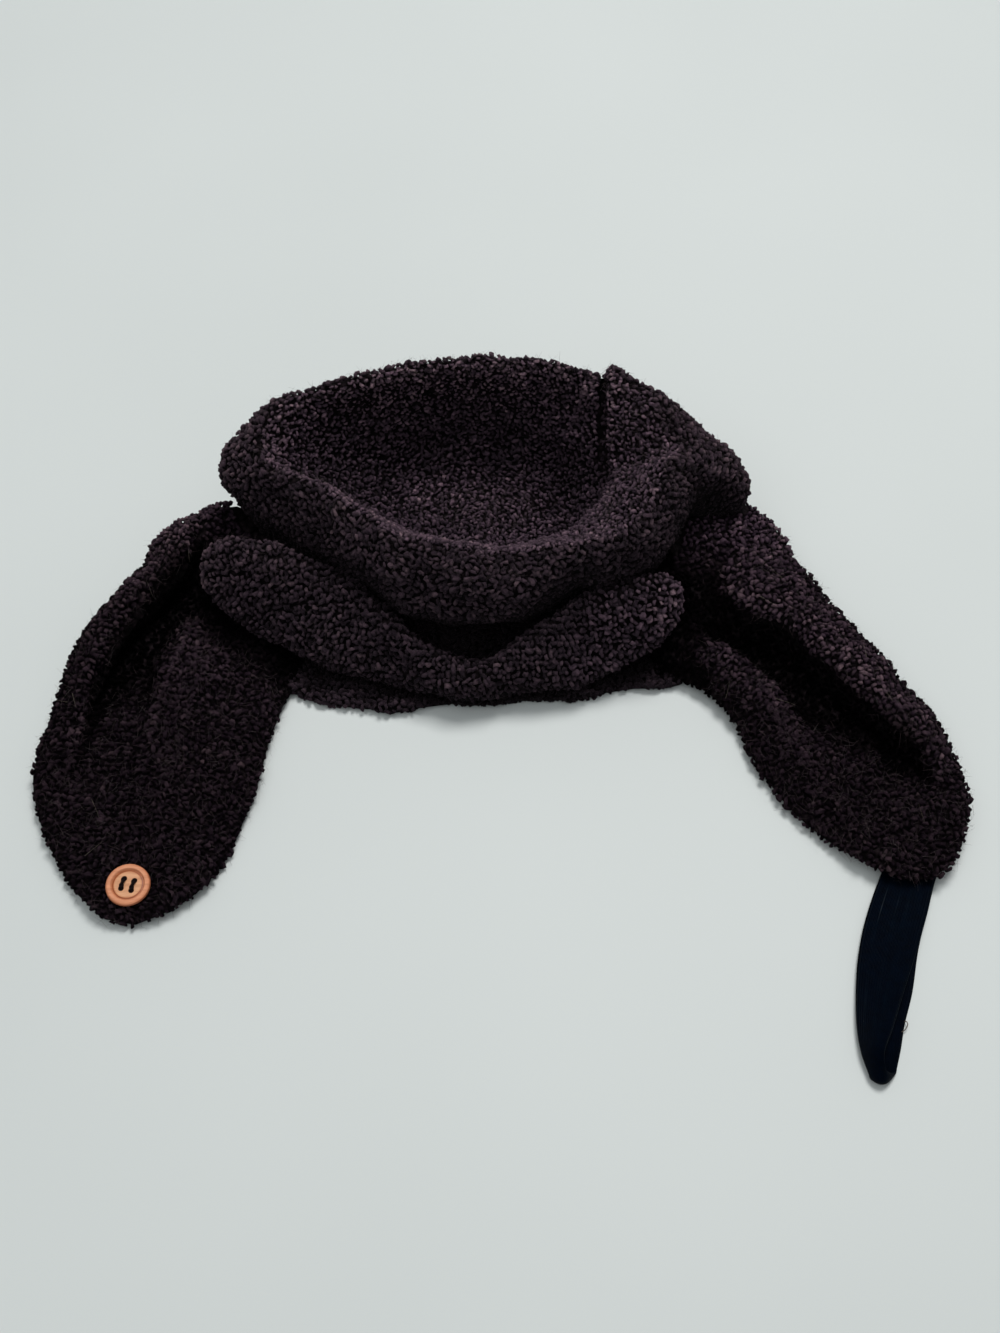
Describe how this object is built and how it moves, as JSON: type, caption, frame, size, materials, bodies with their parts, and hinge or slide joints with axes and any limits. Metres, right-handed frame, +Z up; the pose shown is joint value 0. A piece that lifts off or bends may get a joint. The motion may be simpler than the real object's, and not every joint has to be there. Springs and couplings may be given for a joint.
{
  "type": "knitted aviator hat",
  "caption": "Thick knitted hat lying crown up, with a turned-up front brim, two ear flaps, a wooden button on one flap and an elastic strap loop under the other.",
  "frame": {"origin": "middle of the lying hat's box, on the table", "axes": "+Z up, -Y to the front of the hat, where the ear flaps point, +X to the right seen from the front"},
  "size_m": [0.4312, 0.3296, 0.0901],
  "materials": {
    "knit": "thick dark brown-aubergine boucle knit",
    "elastic_tape": "smooth near-black navy elastic tape",
    "button_wood": "satin orange-tan wood",
    "thread": "dark sewing thread"
  },
  "bodies": {
    "root": {"crown": "knit", "front_brim": "knit", "left_ear_flap": "knit", "right_ear_flap": "knit", "strap_loop": "elastic_tape", "button": "button_wood", "button_stitch_left": "thread", "button_stitch_right": "thread"}
  },
  "joints": []
}
